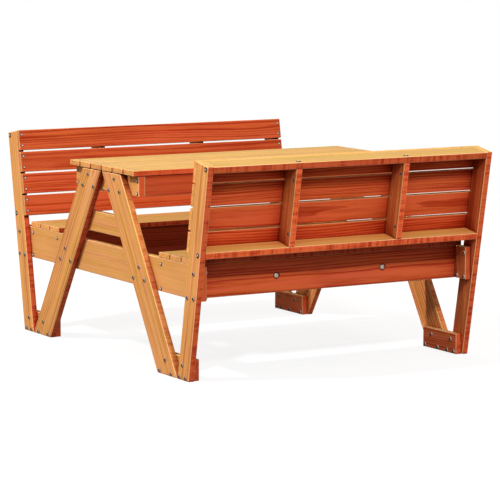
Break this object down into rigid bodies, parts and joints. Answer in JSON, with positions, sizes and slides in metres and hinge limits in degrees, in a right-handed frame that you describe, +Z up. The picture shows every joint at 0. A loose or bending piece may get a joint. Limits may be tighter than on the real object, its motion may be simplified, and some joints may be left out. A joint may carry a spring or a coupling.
{
  "type": "kids picnic table",
  "caption": "Small wooden picnic table whose A-frame ends also carry a slatted bench with a leaning backrest along each long side.",
  "frame": {"origin": "on the ground, under the middle of the tabletop", "axes": "+X along the boards from the left end frame to the right one, +Y across the table from the front bench to the back bench, +Z up"},
  "size_m": [0.89, 1.1802, 0.5823],
  "materials": {
    "frame_wood": "satin honey-brown stain over visible pine grain",
    "slat_wood": "satin honey-brown stain over visible pine grain",
    "apron_wood": "satin honey-brown stain over visible pine grain",
    "fastener_steel": "zinc-plated steel"
  },
  "bodies": {
    "root": {"backrest_divider_back_left": "frame_wood", "backrest_divider_back_right": "frame_wood", "backrest_divider_front_left": "frame_wood", "backrest_divider_front_right": "frame_wood", "backrest_rail_back_bottom": "frame_wood", "backrest_rail_back_top": "frame_wood", "backrest_rail_front_bottom": "frame_wood", "backrest_rail_front_top": "frame_wood", "backrest_slat_back_1": "slat_wood", "backrest_slat_back_2": "slat_wood", "backrest_slat_back_3": "slat_wood", "backrest_slat_back_4": "slat_wood", "backrest_slat_front_1": "slat_wood", "backrest_slat_front_2": "slat_wood", "backrest_slat_front_3": "slat_wood", "backrest_slat_front_4": "slat_wood", "crossbar_left": "frame_wood", "crossbar_right": "frame_wood", "crossbeam_left": "frame_wood", "crossbeam_right": "frame_wood", "foot_block_left_back": "frame_wood", "foot_block_left_front": "frame_wood", "foot_block_right_back": "frame_wood", "foot_block_right_front": "frame_wood", "leg_left_back": "frame_wood", "leg_left_front": "frame_wood", "leg_right_back": "frame_wood", "leg_right_front": "frame_wood", "leg_tie_left": "frame_wood", "leg_tie_right": "frame_wood", "post_left_back": "frame_wood", "post_left_front": "frame_wood", "post_right_back": "frame_wood", "post_right_front": "frame_wood", "seat_apron_back_inner": "apron_wood", "seat_apron_back_outer": "apron_wood", "seat_apron_front_inner": "apron_wood", "seat_apron_front_outer": "apron_wood", "seat_bolt_back_left": "fastener_steel", "seat_bolt_back_right": "fastener_steel", "seat_bolt_front_left": "fastener_steel", "seat_bolt_front_right": "fastener_steel", "seat_brace_back_left": "apron_wood", "seat_brace_back_right": "apron_wood", "seat_brace_front_left": "apron_wood", "seat_brace_front_right": "apron_wood", "seat_slat_back_1": "slat_wood", "seat_slat_back_2": "slat_wood", "seat_slat_back_3": "slat_wood", "seat_slat_front_1": "slat_wood", "seat_slat_front_2": "slat_wood", "seat_slat_front_3": "slat_wood", "table_apron_back": "apron_wood", "table_apron_front": "apron_wood", "tabletop_slat_1": "slat_wood", "tabletop_slat_2": "slat_wood", "tabletop_slat_3": "slat_wood", "tabletop_slat_4": "slat_wood", "tabletop_slat_5": "slat_wood", "tabletop_slat_6": "slat_wood"}
  },
  "joints": []
}
